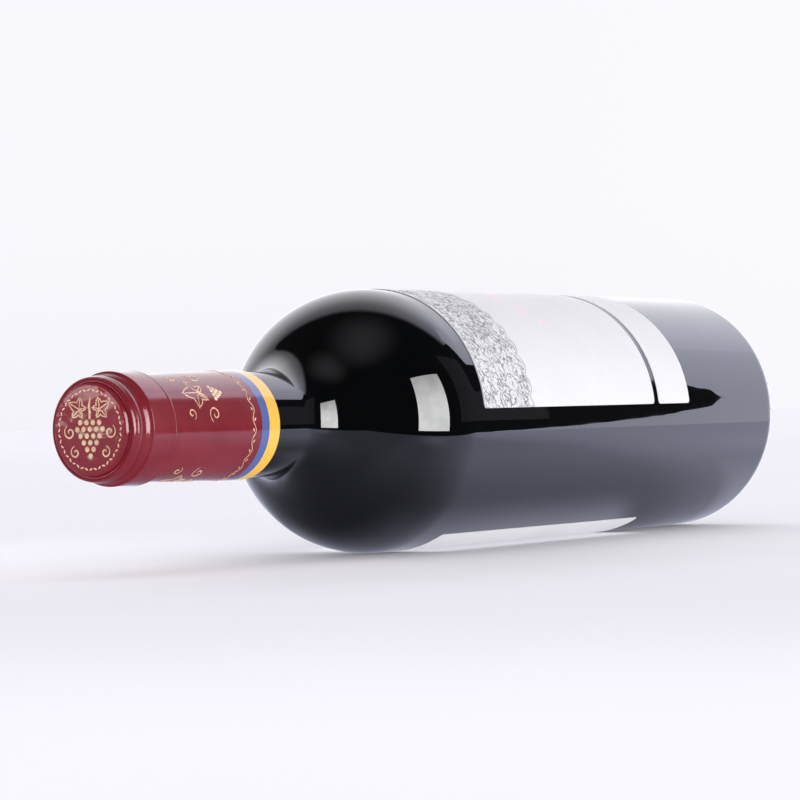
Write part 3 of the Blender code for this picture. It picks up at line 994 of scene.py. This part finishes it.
# A painted highlight on the mirrored table in front of the bottle.
painted_bright_spot = add_node(tree, "VectorMath", {"operation": "DISTANCE"})
tree.links.new(where, painted_bright_spot.inputs[0])
painted_bright_spot.inputs[1].default_value = (-0.025, -0.15, 0)
shine_level = plus(tree, shine_level, fade(tree, painted_bright_spot.outputs["Value"], 0.055, 0, 0, 0.5))
shine = add_node(tree, "Emission", Color=(0.90, 0.915, 1.185, 1), Strength=shine_level)
path = add_node(tree, "LightPath")
unmirrored_table = mix_shaders(tree, path.outputs["Is Camera Ray"], thrown_back.outputs[0], seen_table)
whole_table = mix_shaders(tree, path.outputs["Is Glossy Ray"], unmirrored_table, shine.outputs[0])
tree.links.new(whole_table, tree.nodes["Material Output"].inputs["Surface"])
far = TABLE_REACH
back_corners = [(-far, TABLE_EDGE, 0), (far, TABLE_EDGE, 0), (far, far, 0), (-far, far, 0)]
stage_sheet("table_back", back_corners, table_top)
front_corners = [(-far, -far, 0), (far, -far, 0), (far, TABLE_EDGE, 0), (-far, TABLE_EDGE, 0)]
table_front = stage_sheet("table_front", front_corners, table_top)
table_front.visible_glossy = False

# The wall and the ceiling are one white cove that ends in an arch over the bottle, with a dim lamp patch.
cove_glow, tree, glow = glowing("white cove")
where = add_node(tree, "TexCoord").outputs["Object"]
depth = distance_along(tree, where, DEPTH)
side_place = distance_along(tree, where, SIDE)
height = add_node(tree, "SeparateXYZ", Vector=where).outputs["Z"]
off_arch = maths(tree, "SUBTRACT", side_place, 0.25)
arch = plus(tree, 0.31, times(tree, times(tree, off_arch, off_arch), 0.28))
reach = plus(tree, maths(tree, "SUBTRACT", depth, arch), maths(tree, "SUBTRACT", CEILING, height))
left_light = fade(tree, side_place, -1.0, -0.4, 1.15, 1.5)
right_light = fade(tree, side_place, -0.1, 0.65, 0.0, 1.0)
brightness = plus(tree, left_light, right_light)
brightness = times(tree, brightness, fade(tree, reach, -0.05, 0.1))
brightness = times(tree, brightness, fade(tree, reach, 0.0, 0.75, 0.45, 1.0))
patch_side = maths(tree, "DIVIDE", maths(tree, "SUBTRACT", side_place, 0.03), 0.45)
patch_depth = maths(tree, "DIVIDE", plus(tree, depth, 0.36), 0.6)
side_squared = times(tree, patch_side, patch_side)
depth_squared = times(tree, patch_depth, patch_depth)
from_patch = maths(tree, "SQRT", plus(tree, side_squared, depth_squared))
patch = fade(tree, from_patch, 1.15, 0.0, SKY_GLOSS, 0.42)
cove_tint = tint(tree, fade(tree, side_place, 0.1, 0.8), (0.972, 0.967, 1.035), (0.945, 0.957, 1.17))
tree.links.new(cove_tint, glow.inputs["Color"])
tree.links.new(plus(tree, brightness, patch), glow.inputs["Strength"])
wall_end = [panel_corner(WALL_DEPTH, side, height) for side, height in WALL_END]
wall_head = [panel_corner(WALL_DEPTH, side, CEILING) for side in (WALL_SIDE, -WALL_SIDE)]
stage_sheet("wall", [panel_corner(WALL_DEPTH, -WALL_SIDE, 0)] + wall_end + wall_head, cove_glow, True)
ceiling_near = [panel_corner(-1.0, side, CEILING) for side in (-WALL_SIDE, WALL_SIDE)]
stage_sheet("ceiling", ceiling_near + wall_head, cove_glow, True)

# The right wall shows only up to the edge that the heel and the body mirror.
right_glow = glowing("right wall", 2.35, (0.945, 0.957, 1.17, 1))[0]
right_edge = ((-0.66, -0.11), (-0.60, -0.063), (-0.547, 0.006), (-0.509, 0.08), (-0.485, 0.16), (-0.47, 0.3))
corners = [(1.0, y, z) for y, z in right_edge] + [(1.0, -0.47, 1.0), (1.0, -0.2, 1.0), (1.0, -0.2, -0.11)]
stage_sheet("right_wall", corners, right_glow, True)

# The soft light is strongest at its foot and on its left. The glass mirrors the dim screen and the card.
soft_glow, tree, glow = glowing("soft light", colour=LIGHT_WHITE)
where = add_node(tree, "TexCoord").outputs["Object"]
place = add_node(tree, "SeparateXYZ", Vector=where)
uneven = add_node(tree, "TexNoise", Vector=where, Scale=7.0, Detail=2.0)
strength = fade(tree, place.outputs["Z"], 0.1, 0.6, 14.5, 7.5)
strength = times(tree, strength, fade(tree, place.outputs["X"], -0.1, 0.31, 1.04, 0.89))
strength = times(tree, strength, fade(tree, uneven.outputs["Fac"], 0.3, 0.7, 0.93, 1.07))
tree.links.new(strength, glow.inputs["Strength"])
corners = upright((LIGHT_LEFT, LIGHT_PLACE), (LIGHT_RIGHT, LIGHT_PLACE), LIGHT_FOOT, LIGHT_HEAD)
stage_sheet("soft_light", corners, soft_glow, True)
dim_glow = glowing("dim screen", 0.18)[0]
stage_sheet("dim_screen", upright((0.56, LIGHT_PLACE), (1.28, LIGHT_PLACE), 0, 0.9), dim_glow, True)
left_glow = glowing("left card", 6.0, LIGHT_WHITE)[0]
stage_sheet("left_card", upright((-1.06, 0.48), (-0.83, 0.75), 0.075, 0.17), left_glow, True)

# The sky lights the paper and the table from behind, from the front and from straight above.
world = bpy.data.worlds.new("studio")
bpy.context.scene.world = world
world.use_nodes = True
tree = world.node_tree
background = tree.nodes["Background"]
direction = add_node(tree, "TexCoord").outputs["Generated"]
rise = add_node(tree, "SeparateXYZ", Vector=direction).outputs["Z"]
backdrop = tint(tree, fade(tree, rise, -0.01, 0.075), (0.905, 0.896, 0.946), (0.949, 0.939, 0.983))
to_right = fade(tree, distance_along(tree, direction, SIDE), 0.0, 0.13, 0.0, 0.7)
backdrop = tint(tree, to_right, backdrop, (0.965, 0.957, 0.995))
backward = distance_along(tree, direction, DEPTH)
low_sky = fade(tree, rise, 0.64, 0.34)
from_back = times(tree, fade(tree, backward, 0.17, 0.75, 0.0, 4.78), low_sky)
from_front = times(tree, fade(tree, backward, -0.17, -0.75, 0.0, 1.38), low_sky)
sky = plus(tree, plus(tree, from_back, from_front), fade(tree, rise, 0.77, 0.97, 0.40, 0.81))
sky_colour = off_grey(tree, sky, SKY_GREEN, SKY_BLUE)
path = add_node(tree, "LightPath")
not_seen = tint(tree, path.outputs["Is Glossy Ray"], sky_colour, (SKY_GLOSS, SKY_GLOSS, 1.1 * SKY_GLOSS))
tree.links.new(tint(tree, path.outputs["Is Camera Ray"], not_seen, backdrop), background.inputs["Color"])


# Camera
# It stands low beyond the bottle's mouth and looks along its near side, as the photographer's did.
CAMERA_PLACE = Vector((-0.72844, -0.47861, 0.03788))
CAMERA_YAW = 0.58953
CAMERA_PITCH = 0.00566
CAMERA_ROLL = -0.0297
LENS = 136.06
SENSOR_WIDTH = 36
SEEN_UP_TO = 200
camera_data = bpy.data.cameras.new("camera")
camera_data.sensor_width = SENSOR_WIDTH
camera_data.lens = LENS
camera_data.clip_end = SEEN_UP_TO
camera = bpy.data.objects.new("camera", camera_data)
bpy.context.scene.collection.objects.link(camera)
flat_ahead = Vector((math.cos(CAMERA_YAW), math.sin(CAMERA_YAW), 0))
ahead = math.cos(CAMERA_PITCH) * flat_ahead + Vector((0, 0, math.sin(CAMERA_PITCH)))
level_right = Vector((math.sin(CAMERA_YAW), -math.cos(CAMERA_YAW), 0))
level_up = level_right.cross(ahead)
camera_right = math.cos(CAMERA_ROLL) * level_right + math.sin(CAMERA_ROLL) * level_up
camera_up = -math.sin(CAMERA_ROLL) * level_right + math.cos(CAMERA_ROLL) * level_up
turned_to = Matrix((camera_right, camera_up, -ahead)).transposed().to_4x4()
camera.matrix_world = Matrix.Translation(CAMERA_PLACE) @ turned_to
bpy.context.scene.camera = camera
bpy.context.scene.view_settings.view_transform = "Standard"
